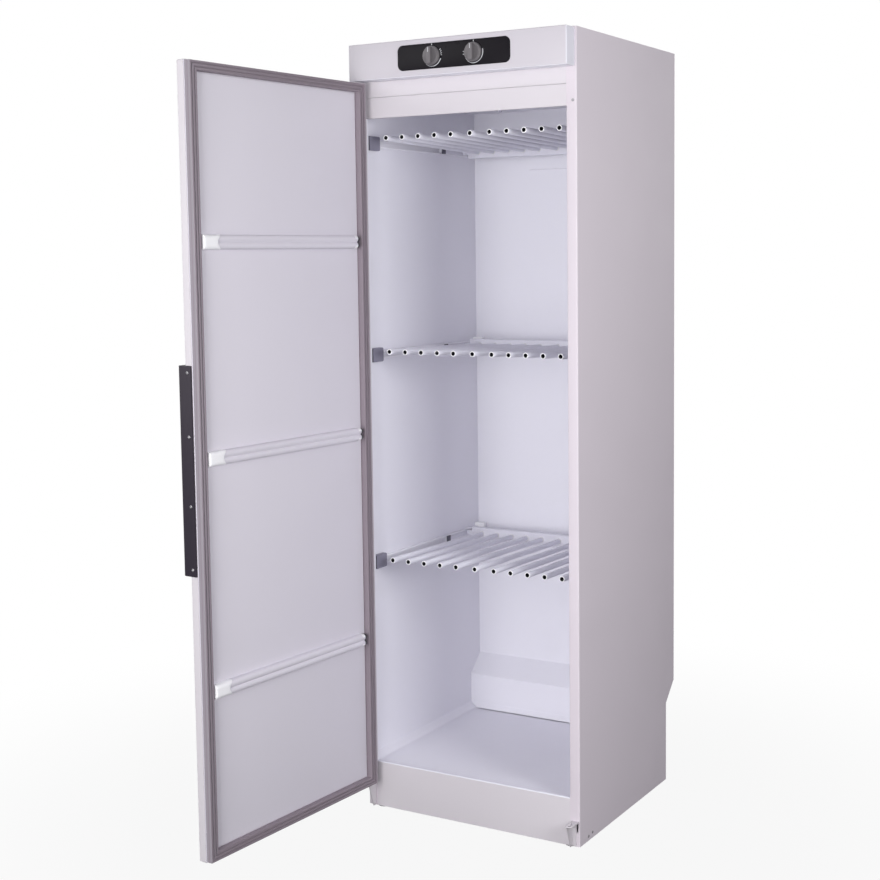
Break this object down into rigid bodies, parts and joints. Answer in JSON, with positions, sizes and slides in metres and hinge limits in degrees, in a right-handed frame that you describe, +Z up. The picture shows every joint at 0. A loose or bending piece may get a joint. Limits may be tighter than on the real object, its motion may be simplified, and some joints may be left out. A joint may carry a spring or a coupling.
{
  "type": "drying cabinet",
  "caption": "Free-standing sheet-steel clothes drying cabinet with a side-hung door, pull-out racks of hanging tubes, control knobs, and a fan and ring heater above the ceiling.",
  "frame": {"origin": "middle of the body's front lower edge, on the floor", "axes": "+X to the right seen from the front, +Y to the back, +Z up"},
  "size_m": [0.6503, 1.189, 1.935],
  "materials": {
    "white_steel": "white powder coat, satin",
    "rack_steel": "white powder coat, satin",
    "rail_steel": "white enamel, satin",
    "zinc_steel": "zinc-plated sheet",
    "bright_steel": "bright turned steel",
    "heater_sheath": "dark heat-tinted sheath",
    "black_enamel": "black stove enamel",
    "panel_plastic": "near-black gloss",
    "knob_plastic": "silver-grey, satin",
    "handle_plastic": "anthracite, fine grain",
    "white_plastic": "white moulded",
    "grey_plastic": "mid grey moulded",
    "black_plastic": "dark moulded",
    "liner_plastic": "light grey, satin",
    "gasket_rubber": "grey ribbed seal",
    "door_foam": "rigid foam"
  },
  "bodies": {
    "cabinet": {"left_side_panel": "white_steel", "right_side_panel": "white_steel", "back_panel": "white_steel", "roof_panel": "white_steel", "ceiling_panel": "white_steel", "header_panel": "white_steel", "header_trim": "white_steel", "floor_pan": "white_steel", "plinth_panel": "white_steel", "base_frame": "zinc_steel", "levelling_feet": "black_plastic", "control_fascia": "white_steel", "control_insert": "panel_plastic", "timer_unit": "white_plastic", "selector_switch": "black_plastic", "fan_box_cover": "zinc_steel", "fan_motor": "black_enamel", "heater_ring": "heater_sheath", "thermostat": "white_plastic", "terminal_block": "white_plastic", "door_switch": "black_plastic", "duct_cover": "white_steel", "exhaust_duct": "zinc_steel", "cable_gland": "black_plastic", "upper_hinge_bracket": "white_steel", "lower_hinge_bracket": "white_steel", "spare_hinge_bracket": "white_steel", "hinge_pins": "bright_steel", "panel_screws": "bright_steel", "wall_rails": "rail_steel", "rail_end_blocks": "grey_plastic", "rail_stops": "white_plastic"},
    "door": {"hinge_bushes": "black_plastic", "door_outer_pan": "white_steel", "door_core": "door_foam", "door_inner_plate": "liner_plastic", "door_gasket": "gasket_rubber", "door_handle": "handle_plastic", "handle_screws": "bright_steel", "door_rails": "liner_plastic", "door_rail_caps": "white_plastic"},
    "timer_dial": {"timer_knob": "knob_plastic", "timer_spindle": "bright_steel"},
    "selector_dial": {"selector_knob": "knob_plastic", "selector_spindle": "bright_steel"},
    "fan": {"fan_wheel": "zinc_steel", "fan_shaft": "bright_steel"},
    "top_rack": {"top_rack_tubes": "rack_steel", "top_rack_crossbar": "rack_steel", "top_rack_glides": "zinc_steel", "top_rack_shoes": "black_plastic"},
    "middle_rack": {"middle_rack_tubes": "rack_steel", "middle_rack_crossbar": "rack_steel", "middle_rack_glides": "zinc_steel", "middle_rack_shoes": "black_plastic"},
    "bottom_rack": {"bottom_rack_tubes": "rack_steel", "bottom_rack_crossbar": "rack_steel", "bottom_rack_glides": "zinc_steel", "bottom_rack_shoes": "black_plastic"}
  },
  "joints": [
    {"name": "door_hinge", "type": "hinge", "parent": "cabinet", "child": "door", "pos_m": [-0.286, -0.033, 0], "axis": [0, 0, -1], "range_deg": [-94, 26]},
    {"name": "timer_turn", "type": "hinge", "parent": "cabinet", "child": "timer_dial", "pos_m": [-0.056, -0.04, 1.856], "axis": [0, 1, 0], "range_deg": [0, 315]},
    {"name": "selector_turn", "type": "hinge", "parent": "cabinet", "child": "selector_dial", "pos_m": [0.056, -0.04, 1.856], "axis": [0, 1, 0], "range_deg": [-90, 180]},
    {"name": "fan_spin", "type": "hinge", "parent": "cabinet", "child": "fan", "pos_m": [0, 0.2, 1.81], "axis": [0, 0, 1], "continuous": true},
    {"name": "top_rack_slide", "type": "slide", "parent": "cabinet", "child": "top_rack", "axis": [0, -1, 0], "range_m": [0, 0.29]},
    {"name": "middle_rack_slide", "type": "slide", "parent": "cabinet", "child": "middle_rack", "axis": [0, -1, 0], "range_m": [0, 0.29]},
    {"name": "bottom_rack_slide", "type": "slide", "parent": "cabinet", "child": "bottom_rack", "axis": [0, -1, 0], "range_m": [0, 0.29]}
  ]
}
